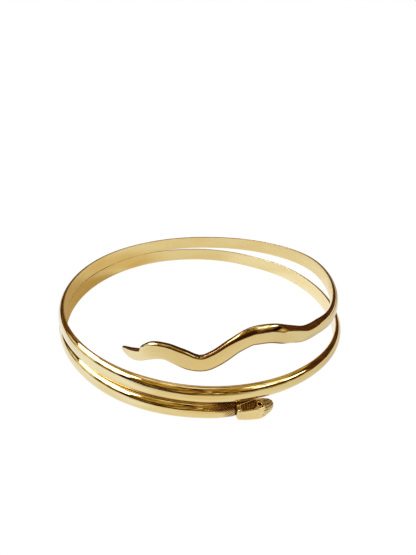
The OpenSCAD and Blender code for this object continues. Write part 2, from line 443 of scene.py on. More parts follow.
# Oxide between the scales and how much less lies on them, and the same for the painted shade
# that the upper half has more of
NECK_OXIDE, NECK_CLEAN, UPPER_SHADE, UPPER_SHADE_LESS = 0.68, 0.55, 0.52, 0.2
# The groove: its depth, and where its far side starts and ends, in mm from the collar
# The groove is browned with oxide and with the painted shadow of the collar's step
GROOVE, GROOVE_FROM, GROOVE_TO = 0.13, 0.2, 0.45
MM_PER_DEGREE = math.pi * INNER_D / 360
print("the neck's scales end", NECK_REACH + NECK_REACH_UP, "mm from the collar")

# %% What was struck into the tail, and where it is painted dark
# Place and width in degrees, and depth in mm
CREASE_AT, CREASE_WIDE, CREASE = 734.5, 0.5, 0.07
NICK_AT, NICK_WIDE, NICK = 753, 0.45, 0.12
# Degrees along the coil, and how much dark is painted on the upper edge as shade, and on the
# tail's upper facet, just above its ridge and on its lower edge as dark reflections
PAINTED_DARK_ROWS = [
    [340, 0, 0, 0, 0], [360, 0.3, 0, 0, 0], [440, 0.3, 0, 0, 0], [702, 0.4, 0, 0, 0],
    [706, 0.4, 0, 0.15, 0.5], [714, 0.4, 0, 0.8, 0.5], [718, 0.3, 0.9, 0.8, 0.5],
    [731, 0.2, 0.8, 0.8, 0.5], [733, 0.6, 0.3, 0.3, 0.5], [737, 0.8, 0.15, 0.8, 0.4],
    [742, 0.8, 0.1, 1, 0.1], [747, 0.8, 0, 0.8, 0], [749, 0.7, 0, 0.2, 0],
    [753, 0.8, 0.2, 0, 0], [754, 0.8, 1.6, 0, 0], [760.6, 0.8, 1.6, 0, 0]]
# How much painted shade lies where the other turn presses
PRESSED_SHADE = 0.3
# A band of painted dark reflection just above the ridge: how far above and how wide, in mm
ABOVE_RIDGE, ABOVE_RIDGE_WIDE = 0.12, 0.13
print("oxide is given at", len(PAINTED_DARK_ROWS), "places along the coil")

# %% Where on the band a mark goes
# Each pair is where a soft step starts and ends. This one is the depth of the inner face
INNER_FACE = 0.02, 0.12
# How much the surface looks up: on the neck's upper half for its scales and for its painted
# shade, on the band's upper edge, and on the tail's upper facet
UPPER_SCALES, UPPER_BROWN, UPPER_EDGE, FACET = (0, 0.5), (0.2, 0.5), (0.2, 0.6), (0.1, 0.3)
# Share of the thickness on the facet, near the ridge
FACET_FOOT = 0.5, 0.75
# The same for the painted dark reflection on the tail's lower edge, in mm before the edge
# and past it
LOWER_EDGE = 0.72, -0.56


def near(line, before, after, at):
    """A soft step that starts so far before a line and ends so far after it, in mm."""
    return fade(line - before, line + after, at)


print("the inner face ends", INNER_FACE[1], "mm deep")

# %% Relief on the band
def edge_shade(a):
    """Painted shade on the band's edges at a degrees: a dark line along the upper edge, and
    where the other turn presses.
    """
    half = sizes(a)[0] / 2
    drawn_down, drawn_up = (straight(TOUCH_ROWS, k, a) for k in (1, 2))
    dark_edge = straight(PAINTED_DARK_ROWS, 1, a)

    def shade_at(up):
        pressed = drawn_up if up > 0 else drawn_down
        return max(PRESSED_SHADE * fade(0, 0.1, pressed) * near(half, 0.02, 0.1, abs(up)),
                   dark_edge * near(half, 0.14, -0.04, up))

    return shade_at


def neck_marks(x, girth, facing, inside):
    """Lift, brown and strength of the neck's scales, x mm from the collar. The brown is
    oxide between the scales, and painted shade on the upper half.
    """
    reach = NECK_REACH + NECK_REACH_UP * fade(*UPPER_SCALES, facing)
    skin = (1 - inside) * (1 - fade(0.3 * reach, reach, x))
    dome = scales(x, girth, NECK_PITCH)
    # Painted shade: the neck's upper half is browner, in place of the dark room that it
    # mirrors
    upper = fade(*UPPER_BROWN, facing) * (UPPER_SHADE - UPPER_SHADE_LESS * dome)
    return (NECK_RELIEF * skin * (dome - 0.6),
            skin * (NECK_OXIDE - NECK_CLEAN * dome + upper), skin)


def band_relief(a):
    """The relief on the band's outline at a degrees along the coil."""
    x = (a - COLLAR) * MM_PER_DEGREE
    groove = 1 - fade(GROOVE_FROM, GROOVE_TO, x)
    blade = fade(BLADE_FROM, BLADE_FULL, a)
    high, thick, ridge_share = sizes(a)
    ridge = high * (ridge_share - 0.5)
    dark_facet, dark_ridge, dark_foot = (straight(PAINTED_DARK_ROWS, k, a) for k in (2, 3, 4))
    edges = edge_shade(a)

    def relief(up, out, girth, facing):
        inside = 1 - fade(*INNER_FACE, out)
        lift, oxide_and_shade, skin = neck_marks(x, girth, facing, inside)
        lift -= GROOVE * groove * (1 - 0.7 * inside)
        on_edge = fade(*UPPER_EDGE, facing)
        crease = on_edge * dent(a, CREASE_AT, CREASE_WIDE)
        nick = on_edge * dent(a, NICK_AT, NICK_WIDE)
        lift -= CREASE * crease + NICK * nick
        facet = blade * fade(*FACET, facing) * near(ridge, 0.05, 0.05, up)
        # Painted dark reflections on the tail: on its upper facet, along its lower edge and
        # just above its ridge
        painted_facet_dark = facet * dark_facet * fade(*FACET_FOOT, out / thick)
        foot = blade * dark_foot * near(high / 2, *LOWER_EDGE, -up)
        painted_ridge_dark = blade * dark_ridge * dent(up, ridge + ABOVE_RIDGE, ABOVE_RIDGE_WIDE)
        # Brown: oxide in the scales, crease and nick; oxide and the painted shadow of the
        # collar's step in the groove; painted shade on the upper edge and where the turns
        # press; painted dark reflections on the tail
        oxide_and_shade = max(oxide_and_shade, groove * (1 - inside), edges(up), 0.9 * crease, nick,
                     painted_facet_dark, foot, painted_ridge_dark)
        dull = max(inside, 0.5 * skin, blade * (1 - near(ridge, 0.15, 0.05, up)))
        return lift, oxide_and_shade, max(dull, 0.6 * painted_facet_dark)

    return relief


# %% The coil and its tail
# Degrees between two outlines on the neck, the coil and the tail, where the neck ends, and
# how far the band reaches into the collar
NECK_STEP, COIL_STEP, TAIL_STEP = 0.16, 1.5, 0.4
NECK_TO = 12.5
INTO_COLLAR = 0.3


def band_ring(a):
    """The struck outline at a degrees along the coil."""
    return struck(band_outline(a), band_relief(a))


def band_place(a, up, out):
    """A point on the band in mm."""
    ways = axes(a)
    return spine(a) + up * ways[2] + out * ways[1]


stations = [COLLAR - INTO_COLLAR]
while stations[-1] < TAIL_END:
    a = stations[-1]
    step = NECK_STEP if a < NECK_TO else COIL_STEP if a < TAIL_FROM - 1 else TAIL_STEP
    stations.append(min(TAIL_END, a + step))
band = wrapped(stations, band_ring, band_place)
band_piece = finished(band, "coil_and_tail")

# %% [markdown]
# ## The head
#
# The head was cast: a straight block with a flat crown, two cheeks nearly square to it, and
# a snout that narrows. Its cheeks are sunk panels with fine ribs across them, its eyes are
# drilled, and small scales stand up on the snout. A block cut and inset by hand would do
# for the panels, but the scales and worn edges would each need their own cuts. So the head
# is a fine sheet wrapped to the block's outline, and struck in the same way as the neck.

# %% The head's block
# Length, height and thickness in mm
HEAD_L, HEAD_H, HEAD_T = 9.6, BAND_H, BAND_T + 1.1
# Height and depth, as shares, between the two corners of the head's foot
HEAD_OUTLINE = [
    [0, 0.2], [0.065, 0.66], [0.1, 0.93], [0.15, 1], [0.32, 1], [0.5, 1], [0.68, 1],
    [0.85, 1], [0.9, 0.93], [0.935, 0.66], [1, 0.2]]
# Share of its length from the collar, shares of its height for the foot and for the
# block's upper and lower half, share of its thickness
HEAD_ROWS = [
    [0, 0.93, 0.9, 0.58, 0.89], [0.05, 0.94, 0.92, 0.66, 0.95],
    [0.11, 0.95, 0.93, 0.74, 0.98], [0.2, 0.96, 0.94, 0.82, 1], [0.31, 0.98, 0.96, 0.92, 1],
    [0.42, 0.99, 0.98, 0.99, 1], [0.5, 0.98, 1, 1, 1], [0.6, 0.96, 0.98, 1, 0.98],
    [0.66, 0.95, 0.95, 0.98, 0.93], [0.74, 0.9, 0.88, 0.93, 0.8],
    [0.82, 0.8, 0.77, 0.84, 0.67], [0.9, 0.62, 0.6, 0.67, 0.52],
    [0.96, 0.4, 0.4, 0.44, 0.4], [0.985, 0.26, 0.26, 0.28, 0.3], [1, 0.08, 0.08, 0.09, 0.12]]
print("the head is", HEAD_L, "mm long and", round(HEAD_T, 1), "mm thick")

# %% The head's outline
# Points round an outline, outlines along the head, and times that its corners are softened
HEAD_AROUND, HEAD_ALONG = 200, 160
SOFTENED = 2


def evened(points, count):
    """The closed outline as count evenly spaced points, its corners slightly rounded."""
    loop = points + points[:1]
    run = run_along(loop)
    table = [[r, *p] for r, p in zip(run, loop)]
    even = [tuple(straight(table, column, run[-1] * k / count) for column in (1, 2))
            for k in range(count)]
    for _ in range(SOFTENED):
        even = [((p[0] + 2 * q[0] + r[0]) / 4, (p[1] + 2 * q[1] + r[1]) / 4)
                for p, q, r in zip(even[-1:] + even, even, even[1:] + even[:1])]
    return even


def head_outline(s):
    """The head's plain outline at share s of its length, in mm."""
    foot, upper, lower = (HEAD_H * smooth(HEAD_ROWS, k, s) for k in (1, 2, 3))
    thick = HEAD_T * smooth(HEAD_ROWS, 4, s)
    block = [((upper if u > 0.5 else lower) * (u - 0.5), thick * d) for u, d in HEAD_OUTLINE]
    return evened([(-foot / 2, 0)] + block + [(foot / 2, 0)], HEAD_AROUND)


print("the head's outline has", len(head_outline(0)), "points")

# %% What was struck into the cheeks
# All in mm: x runs along the head from the collar, out from the foot of the cheek. The
# sunk panel's depth, and its ends
PANEL, PANEL_FROM, PANEL_TO = 0.15, 0.85, 4.75
# Its lower side starts so far out and falls towards the nose, by so much to a mm. Its upper
# side steps down before the eye
PANEL_LOW, LOW_STARTS, PANEL_FALL = 1.08, 0.6, 0.19
PANEL_HIGH, PANEL_STEP, STEP_FROM, STEP_TO = 2.74, 0.75, 3.7, 4.9
# The ribs across it: height, pitch and slant, oxide between them and how much less on them
RIBS, RIB_PITCH, RIB_SLANT, RIB_OXIDE, RIB_CLEAN = 0.08, 0.43, 0.3, 1.05, 0.75
# Painted shade below the panel, towards the cheek's foot
FOOT_SHADE = 0.6
# The eye: place, radius and depth, and the height, radius and width of the brow round it
EYE_X, EYE_OUT, EYE_R, EYE_DEEP = 5.44, 1.68, 0.48, 0.6
BROW, BROW_R, BROW_WIDE = 0.09, 0.6, 0.14
# The nub before the eye: place, height, and the radius of its top and of its foot
NUB_X, NUB_OUT, NUB, NUB_TOP, NUB_FOOT = 6.3, 1.95, 0.16, 0.1, 0.34


def cheek_relief(x, out):
    """Lift and brown on a cheek, x mm along the head and out mm from its foot. The brown is
    oxide between the ribs, painted shade along the panel's sides and below it, and a dark
    brown in the eye and round its brow.
    """
    low = PANEL_LOW - PANEL_FALL * (x - LOW_STARTS)
    high = PANEL_HIGH - PANEL_STEP * fade(STEP_FROM, STEP_TO, x)
    panel = (near(PANEL_FROM, 0, 0.12, x) * (1 - near(PANEL_TO, 0.15, 0, x))
             * near(low, 0, 0.1, out) * (1 - near(high, 0.1, 0, out)))
    rib = 0.5 + 0.5 * math.cos(2 * math.pi * (x + RIB_SLANT * out) / RIB_PITCH)
    lift = panel * (RIBS * rib - PANEL)
    # Painted shade along the sunk panel's lower and upper sides
    edge = max(dent(out, low + 0.08, 0.12), dent(out, high - 0.12, 0.16))
    oxide_and_shade = max(panel * max(RIB_OXIDE - RIB_CLEAN * rib, edge),
                 FOOT_SHADE * (1 - near(low, 0.25, 0, out)))
    from_eye = math.hypot(x - EYE_X, out - EYE_OUT)
    brow = dent(from_eye, BROW_R, BROW_WIDE)
    eye = 1 - near(EYE_R, 0.12, 0, from_eye)
    nub = 1 - fade(NUB_TOP, NUB_FOOT, math.hypot(x - NUB_X, out - NUB_OUT))
    return (lift + BROW * brow - EYE_DEEP * eye + NUB * nub,
            max(oxide_and_shade, eye, 0.7 * dent(from_eye, BROW_R + 0.28, 0.12)))


print("the eye is", round(-cheek_relief(EYE_X, EYE_OUT)[0], 2), "mm deep")

# %% What was struck into the crown and the snout
# The collar's rim: where it ends, how high it stands and how deep its foot is, in mm
RIM, RIM_RELIEF, RIM_FOOT = 0.72, 0.09, 0.03
# The snout's scales: where they start, pitch and height in mm, and between which shares of
# the head's length they end
SNOUT_FROM, SNOUT_PITCH, SNOUT_RELIEF = 6.35, 0.88, 0.28
SNOUT_END = 0.93, 0.985
# Small round marks on the crown: along the head, up from its middle, radius, depth in mm
CROWN_MARKS = [
    [5.15, 0.95, 0.13, 0.05], [4.72, 0.05, 0.14, 0.05], [6.24, 0.7, 0.13, 0.05],
    [6.35, -0.75, 0.22, 0.09], [7.3, 0.3, 0.16, 0.07]]
# How little and how much the surface looks up or down, on the crown and on the cheeks
CROWN_ENDS, CHEEK_STARTS = (0.3, 0.6), (0.45, 0.8)
print("the crown has", len(CROWN_MARKS), "marks")


# %% Relief on the head
def head_relief(s):
    """The relief on the head's outline at share s of its length."""
    x = s * HEAD_L
    rim = fade(0, 0.26, x) * (1 - near(RIM, 0.14, 0, x))
    after_rim = dent(x, RIM + 0.06, 0.09)
    snout = near(SNOUT_FROM, 0, 0.3, x) * (1 - fade(*SNOUT_END, s))

    def relief(up, out, girth, facing):
        outside = fade(0.03, 0.25, out)
        cheek, cheek_oxide_and_shade = cheek_relief(x, out)
        on_cheek = outside * fade(*CHEEK_STARTS, abs(facing))
        lift = outside * (RIM_RELIEF * rim - RIM_FOOT * after_rim) + on_cheek * cheek
        oxide_and_shade = max(outside * 0.2 * after_rim, on_cheek * cheek_oxide_and_shade)
        for along, high, radius, deep in CROWN_MARKS:
            mark = 1 - fade(0.3 * radius, radius, math.hypot(x - along, up - high))
            mark *= 1 - fade(*CROWN_ENDS, abs(facing))
            lift -= deep * mark
            oxide_and_shade = max(oxide_and_shade, 0.9 * mark)
        dome = scales(x, girth, SNOUT_PITCH)
        upward = 0.35 + 0.65 * fade(-0.3, 0.4, up)
        lift += outside * snout * upward * SNOUT_RELIEF * (dome - 0.55)
        # Oxide between the snout's scales, and painted shade on the upper cheek away from
        # the rim
        oxide_and_shade = max(oxide_and_shade, outside * snout * upward * (1 - fade(0.3, 0.62, dome)),
                     0.2 * on_cheek * fade(-0.3, 0.3, up) * (1 - fade(0.4, 0.6, rim)))
        return lift, oxide_and_shade, 0.25 + 0.6 * (1 - outside)

    return relief


# %% The head
def head_ring(s):
    """The struck outline at share s of the head's length."""
    return struck(head_outline(s), head_relief(s))


def head_place(s, up, out):
    """A point on the head in mm, which runs straight on from the collar."""
    turned = math.radians(START_AT - COLLAR)
    r, x = INNER_D / 2 * RADIUS_ROWS[0][1] + out, s * HEAD_L
    return Vector((r * math.cos(turned) - x * math.sin(turned),
                   r * math.sin(turned) + x * math.cos(turned), HEAD_H / 2 + up))


head = wrapped([k / HEAD_ALONG for k in range(HEAD_ALONG + 1)], head_ring, head_place)
head_piece = finished(head, "head")

# %% [markdown]
# ## Brass
#
# Brass has no paint or grain of its own. What shows is how it was finished: the coil was
# polished along its length on a wheel, so fine lines and slight waves follow the bend, the
# inside and the filed face of the tail were left duller, and the casting keeps a fine grain
# where the wheel didn't reach. Brown oxide lies in every hollow, and the same brown paints
# shade and dark reflections on some edges and faces. These effects are shared by the
# polished coil and the cast head, so each is a node group with its own inputs, and each
# material places it with its own values. Nodes can be drawn by hand in the editor. In a
# script, a few short helpers that add a node and link it keep each effect readable.

# %% Helpers for nodes
def feed(tree, inputs, values):
    """Values go to the inputs by name or number, as numbers or as links."""
    for key, value in values.items():
        if isinstance(value, bpy.types.NodeSocket):
            tree.links.new(value, inputs[key])
        else:
            inputs[key].default_value = value


def add(tree, kind, values=None, **settings):
    """A new node, with its settings and the values of its inputs."""
    made = tree.nodes.new("ShaderNode" + kind)
    for name, setting in settings.items():
        setattr(made, name, setting)
    feed(tree, made.inputs, values or {})
    return made


def maths(tree, operation, *values):
    """A sum, product or other operation on values."""
    return add(tree, "Math", dict(enumerate(values)), operation=operation).outputs[0]


# %% Helpers for values
def mixed(tree, kind, factor, low, high):
    """Blends two numbers or two colours."""
    *places, result = {"FLOAT": (0, 2, 3, 0), "RGBA": (0, 6, 7, 2)}[kind]
    values = dict(zip(places, (factor, low, high)))
    return add(tree, "Mix", values, data_type=kind).outputs[result]


def noise(tree, where, scale, detail):
    """The outputs of a noise."""
    return add(tree, "TexNoise", {"Vector": where, "Scale": scale, "Detail": detail}).outputs


def stretched(tree, value, low, high):
    """The part of value between low and high, stretched to 0 to 1."""
    return add(tree, "MapRange", {0: value, 1: low, 2: high}).outputs[0]


# %% Helpers for materials and groups
def blank(name):
    """A new material, its node tree and the inputs of its shader."""
    made = bpy.data.materials.new(name)
    made.use_nodes = True
    return made, made.node_tree, made.node_tree.nodes["Principled BSDF"].inputs


def group(name, inputs, outputs):
    """An empty node group, with its sockets as (name, kind) or (name, kind, value)."""
    tree = bpy.data.node_groups.new(name, "ShaderNodeTree")
    for side, sockets in (("INPUT", inputs), ("OUTPUT", outputs)):
        for label, kind, *value in sockets:
            socket = tree.interface.new_socket(
                name=label, in_out=side, socket_type="NodeSocket" + kind)
            if value:
                socket.default_value = value[0]
    entry, leave = tree.nodes.new("NodeGroupInput"), tree.nodes.new("NodeGroupOutput")
    return tree, entry.outputs, leave.inputs


def placed(tree, inner, values):
    """Puts a group into a material and returns its outputs."""
    return add(tree, "Group", values, node_tree=inner).outputs


# %% [markdown]
# ### Streaks, grain, oxide and painted shade
#
# A polishing wheel leaves fine lines and the hand leaves slow waves. Both are one noise that
# is stretched along the bend, so it reads the sheet's own map and not the object's
# coordinates, which would run straight through the coil. Cast grain has no direction, so a
# noise and some pits on the object's coordinates do. Oxide and painted shade go from clean
# brass over amber to brown as the mark gets stronger, and a cloud makes its edge uneven.

# %% Streaks along the bend
streaks, entry, leave = group(
    "streaks_along_the_bend",
    [("Sheet", "Vector"), ("Length", "Float", 6.0), ("Width", "Float", 0.1)],
    [("Height", "Float")])
parts = add(streaks, "SeparateXYZ", {0: entry["Sheet"]}).outputs
lain = add(streaks, "CombineXYZ", {
    k: maths(streaks, "DIVIDE", parts[k], entry[size])
    for k, size in enumerate(("Length", "Width"))}).outputs[0]
feed(streaks, leave, {"Height": noise(streaks, lain, 1.0, 2.0)["Fac"]})
print("streaks are made with", len(streaks.nodes), "nodes")

# %% Cast grain
# Millimetres in one unit of the object's coordinates
MM_IN_OBJECT = 1 / MM
grain, entry, leave = group(
    "cast_grain", [("Place", "Vector"), ("Size", "Float", 0.2)],
    [("Height", "Float"), ("Pits", "Float")])
steps = add(grain, "VectorMath", {
    0: entry["Place"], "Scale": maths(grain, "DIVIDE", MM_IN_OBJECT, entry["Size"])},
    operation="SCALE").outputs[0]
fine = noise(grain, steps, 1.0, 3.0)["Fac"]
cells = add(grain, "TexVoronoi", {"Vector": steps, "Scale": 0.45})
pits = maths(grain, "SUBTRACT", 1.0, stretched(grain, cells.outputs["Distance"], 0.08, 0.3))
feed(grain, leave, {"Pits": pits, "Height": maths(
    grain, "SUBTRACT", fine, maths(grain, "MULTIPLY", pits, 0.5))})
print("cast grain is made with", len(grain.nodes), "nodes")

# %% Oxide and painted shade
oxide_and_shade_group, entry, leave = group(
    "oxide_and_painted_shade",
    [("Hollow", "Float", 0.0), ("Place", "Vector"), ("Brass", "Color", (1, 1, 1, 1)),
     ("Amber", "Color", (0.4, 0.2, 0.05, 1)), ("Brown", "Color", (0.1, 0.04, 0.01, 1))],
    [("Color", "Color"), ("Mask", "Float")])
steps = add(oxide_and_shade_group, "VectorMath", {0: entry["Place"], "Scale": MM_IN_OBJECT},
            operation="SCALE").outputs[0]
cloud = noise(oxide_and_shade_group, steps, 2.5, 4.0)["Fac"]
uneven = maths(oxide_and_shade_group, "ADD", entry["Hollow"], maths(
    oxide_and_shade_group, "MULTIPLY", entry["Hollow"], maths(oxide_and_shade_group, "SUBTRACT", cloud, 0.5)))
mask = stretched(oxide_and_shade_group, uneven, 0.12, 0.75)
thin = mixed(oxide_and_shade_group, "RGBA", stretched(oxide_and_shade_group, mask, 0.0, 0.45),
             entry["Brass"], entry["Amber"])
thick = mixed(oxide_and_shade_group, "RGBA", stretched(oxide_and_shade_group, mask, 0.35, 1.0), thin, entry["Brown"])
feed(oxide_and_shade_group, leave, {"Color": thick, "Mask": mask})
print("oxide is made with", len(oxide_and_shade_group.nodes), "nodes")

# %% [markdown]
# ### The two brasses
#
# The coil is wrought and was polished bright. The head is a casting, softer in its shine and
# grainier. Two tints of brass change slowly along the band, roughness rises where the
# surface is dull, where it has oxide and where shade is painted, and the waves, lines and
# grain go through one bump after another. All of it is metal, so Metallic is simply 1.

# %% Colours and grains of the brass
BRASS, BRASS_WARM = (0.81, 0.655, 0.32, 1), (0.77, 0.59, 0.26, 1)
# Amber and brown are the oxide's colours, and also those of the painted shade and painted
# dark reflections
AMBER, BROWN = (0.36, 0.19, 0.055, 1), (0.07, 0.022, 0.005, 1)
# Length and width of the streaks in mm: slow waves, wheel lines, changes of tint
WAVES, LINES, TINTS = (7.0, 1.5), (5.0, 0.07), (14.0, 3.0)
# Size of the fine and of the coarse grain in mm
FINE_GRAIN, COARSE_GRAIN = 0.16, 0.5
# Roughness where oxide and painted shade lie
BROWNED_ROUGHNESS = 0.5
print("the finest lines are", LINES[1], "mm wide")

# %% The two brasses
def streaked(tree, sheet, size):
    """Streaks of a size, as a height."""
    return placed(tree, streaks, {"Sheet": sheet, "Length": size[0],
                                  "Width": size[1]})["Height"]


def brass(name, polished, dulled, wave, line, cast):
    """A brass: roughness where polished and where dull, and heights in mm of the hand's
    waves, the wheel's lines and the cast grain."""
    material, tree, shader = blank(name)
    sheet = add(tree, "UVMap", uv_map="sheet").outputs[0]
    place = add(tree, "TexCoord").outputs["Object"]
    oxide_and_shade = add(tree, "Attribute", attribute_name="oxide_and_shade").outputs["Fac"]
    dull = add(tree, "Attribute", attribute_name="dull").outputs["Fac"]
    waves, lines, tint = (streaked(tree, sheet, size) for size in (WAVES, LINES, TINTS))
    sand, coarse = (placed(tree, grain, {"Place": place, "Size": size})
                    for size in (FINE_GRAIN, COARSE_GRAIN))
    body = mixed(tree, "RGBA", stretched(tree, tint, 0.35, 0.7), BRASS, BRASS_WARM)
    pitted = maths(tree, "MULTIPLY", maths(tree, "MULTIPLY", coarse["Pits"], dull), 0.1)
    # Brown over the brass: oxide in hollows and pits, and painted shade and painted dark
    # reflections where the marks say so
    oxide_and_shade_colour = placed(tree, oxide_and_shade_group, {
        "Hollow": maths(tree, "MAXIMUM", oxide_and_shade, pitted), "Place": place,
        "Brass": body, "Amber": AMBER, "Brown": BROWN})
    rough = mixed(tree, "FLOAT", dull, polished, dulled)
    rough = maths(tree, "ADD", rough, maths(
        tree, "MULTIPLY", maths(tree, "SUBTRACT", lines, 0.5), 0.08))
    rough = mixed(tree, "FLOAT", oxide_and_shade_colour["Mask"], rough, BROWNED_ROUGHNESS)
    dullness = maths(tree, "ADD", dull, 0.06)
    normal = {}
    for height, deep in (
            (waves, wave), (lines, line),
            (maths(tree, "MULTIPLY", sand["Height"], dullness), cast),
            (maths(tree, "MULTIPLY", coarse["Height"], dullness), cast)):
        bump = add(tree, "Bump", {"Height": height, "Distance": deep * MM, **normal})
        normal = {"Normal": bump.outputs[0]}
    feed(tree, shader, {"Base Color": oxide_and_shade_colour["Color"], "Metallic": 1, "Roughness": rough,
                        **normal})
    return material


wheel_polished = brass("polished_brass", polished=0.035, dulled=0.26,
                       wave=0.02, line=0.0006, cast=0.005)
as_cast = brass("cast_brass", polished=0.07, dulled=0.26,
                wave=0.006, line=0.0004, cast=0.008)
band_piece.data.materials.append(wheel_polished)
head_piece.data.materials.append(as_cast)
for material in (wheel_polished, as_cast):
    print(material.name, "has", len(material.node_tree.nodes), "nodes")

# %% [markdown]
# ## Table, light and room
#
# A polished metal is a picture of what stands round it. The cuff lies on a white table whose
# glow is painted light, so its shadow is faint and the lower half of each strand mirrors
# white. The upper half mirrors the room: a brown studio with windows of light on the left,
# on the right and in front. Lamps and walls could stand in the scene for these. Soft-edged
# cards, each laid over the ones before it, are quicker to place, and the same node group
# lays them on the sky and, as painted light and shade, on the table.

# %% A card
card, entry, leave = group(
    "card",
    [("Across", "Float", 0.0), ("Up", "Float", 0.0), ("Middle across", "Float", 0.0),
     ("Middle up", "Float", 0.0), ("Half width", "Float", 10.0),
     ("Half height", "Float", 10.0), ("Softness", "Float", 3.0), ("Slope", "Float", 0.0),
     ("Half turn", "Float", 180.0), ("Under", "Float", 0.0), ("Value", "Float", 1.0)],
    [("Over", "Float")])
# Across goes round and round: a card past half a turn is nearer the other way
aside = maths(card, "WRAP", maths(
    card, "SUBTRACT", entry["Across"], entry["Middle across"]), entry["Half turn"],
    maths(card, "MULTIPLY", entry["Half turn"], -1.0))
above = maths(card, "SUBTRACT", entry["Up"], maths(
    card, "ADD", entry["Middle up"], maths(card, "MULTIPLY", aside, entry["Slope"])))
over = 1.0
for away, half in ((aside, "Half width"), (above, "Half height")):
    past = maths(card, "SUBTRACT", maths(card, "ABSOLUTE", away), entry[half])
    edge = maths(card, "DIVIDE", past, entry["Softness"])
    inside = add(card, "MapRange", {0: edge, 1: 0.5, 2: -0.5},
                 interpolation_type="SMOOTHSTEP").outputs[0]
    over = maths(card, "MULTIPLY", inside, over)
feed(card, leave, {"Over": mixed(card, "FLOAT", over, entry["Under"], entry["Value"])})


def laid(tree, across, up, cards, column, value, half_turn=180.0):
    """Lays the cards over value, one after another, and returns the result."""
    for row in cards:
        value = placed(tree, card, {
            "Across": across, "Up": up, "Middle across": row[0], "Middle up": row[1],
            "Half width": row[2], "Half height": row[3], "Softness": row[4],
            "Slope": row[5], "Half turn": half_turn, "Under": value,
            "Value": row[column]})["Over"]
    return value


print("a card is made with", len(card.nodes), "nodes")

# %% [markdown]
# ### The table
#
# The camera sees an even white. The metal sees a table whose glow is painted light and
# shade: warmer under some strands, bluer under others, darker near the inner foot of the
# coil and dark far away, where it ends. One plane does both: a Light Path node gives the
# camera the white, and everything else the patches.

# %% What the metal sees in the table
# Middle across and up, half width and height and softness in mm, slope, brightness and share
# of blue of the painted light and shade that the metal mirrors there
PATCHES = [
    [-325, 0, 300, 1000, 30, 0, 1.0, 1.45], [528, 10, 500, 90, 20, 0, 0.82, 0.95],
    [48, -12, 8, 16, 10, 0, 0.72, 0.9], [32, 15, 10, 24, 10, 0, 1.12, 1.3],
    [16, 28, 8, 12, 8, 0, 1.02, 1.15], [-5, 32, 12, 10, 8, 0, 0.9, 0.9],
    [-22, 22, 7, 12, 8, 0, 0.78, 0.5], [-37, 10, 7, 20, 6, 0, 0.56, 0.31],
    [4, -60, 36, 10, 10, 0, 0.9, 0.88], [-24, -46, 10, 6, 8, 0, 1.05, 1.4],
    [4, -52, 8, 5, 5, 0, 0.9, 0.65], [10, -74, 30, 6, 6, 0, 0.85, 0.6],
    [-10, -539, 55, 460, 3, 0, 0.08, 0.1], [-260, -739, 230, 460, 3, 0.8, 0.08, 0.1],
    [15, -539, 18, 460, 8, 0, 0.45, 0.35], [530, -600, 470, 450, 10, 0, 0.1, 0.2],
    [0, 510, 160, 460, 10, 0, 0.25, 0.4]]
# Brightness and share of blue between the patches, and what the lamp above adds everywhere
TABLE_BRIGHT, TABLE_BLUE, TABLE_LIT = 0.95, 0.95, 0.06
# Brightness that the camera sees
CAMERA_BRIGHT = 0.955
# How far out the patches go, in mm
TABLE_REACH = 600.0
print("the table has", len(PATCHES), "patches")

# %% The table
# Half its width in metres, and how much of the lamp's light it throws back
TABLE_HALF, TABLE_GREY = 3, 0.1
mesh = bpy.data.meshes.new("table")
bm = bmesh.new()
bmesh.ops.create_grid(bm, x_segments=1, y_segments=1, size=TABLE_HALF)
bm.to_mesh(mesh)
bm.free()
table = shown("table", mesh)
print("the table is", 2 * TABLE_HALF, "m wide")

# %% The table's glow
# Green lies between red and blue: it is the share of blue to this power
GREEN_POWER = 0.28
paper, tree, shader = blank("lit_table")
place = add(tree, "TexCoord").outputs["Object"]
parts = add(tree, "SeparateXYZ", {0: place}).outputs
across, up = (
    add(tree, "Clamp", {0: maths(tree, "DIVIDE", parts[k], MM),
                        1: -TABLE_REACH, 2: TABLE_REACH}).outputs[0] for k in (0, 1))
bright = maths(tree, "SUBTRACT", laid(
    tree, across, up, PATCHES, 6, TABLE_BRIGHT, 2 * TABLE_REACH), TABLE_LIT)
blue = laid(tree, across, up, PATCHES, 7, TABLE_BLUE, 2 * TABLE_REACH)
green = maths(tree, "POWER", blue, GREEN_POWER)
glow = add(tree, "CombineColor", {0: bright, 1: maths(tree, "MULTIPLY", green, bright),
                                  2: maths(tree, "MULTIPLY", blue, bright)}).outputs[0]
seen = add(tree, "LightPath").outputs["Is Camera Ray"]
white = (CAMERA_BRIGHT, CAMERA_BRIGHT, CAMERA_BRIGHT, 1)
feed(tree, shader, {
    "Base Color": (TABLE_GREY, TABLE_GREY, TABLE_GREY, 1), "Roughness": 0.9,
    "Specular IOR Level": 0, "Emission Strength": 1,
    "Emission Color": mixed(tree, "RGBA", seen, glow, white)})
mesh.materials.append(paper)
print("the glow has", len(tree.nodes), "nodes")

# %% [markdown]
# ### The light from above
#
# One very wide sun stands for a softbox over the table. It lights the table and the dull
# places evenly, and the polished metal doesn't mirror it, because the cards already give
# everything that it mirrors.

# %% The light from above
FILL_STRENGTH, FILL_WIDTH = 1.9, 120
fill = shown("sky_fill", bpy.data.lights.new("sky_fill", "SUN"))
fill.data.energy = FILL_STRENGTH
fill.data.angle = math.radians(FILL_WIDTH)
fill.visible_glossy = False
print("the softbox is", FILL_WIDTH, "degrees wide")

# %% [markdown]
# ### The room
#
# The room is only ever seen in the metal, so it is a sky of cards in degrees of azimuth and
# elevation. A real room is never so tidy: one noise shifts the cards' edges and another
# makes them blotchy. A ramp then turns brightness into colour, as the dark parts of the
# room are brown and only the lit parts are white.

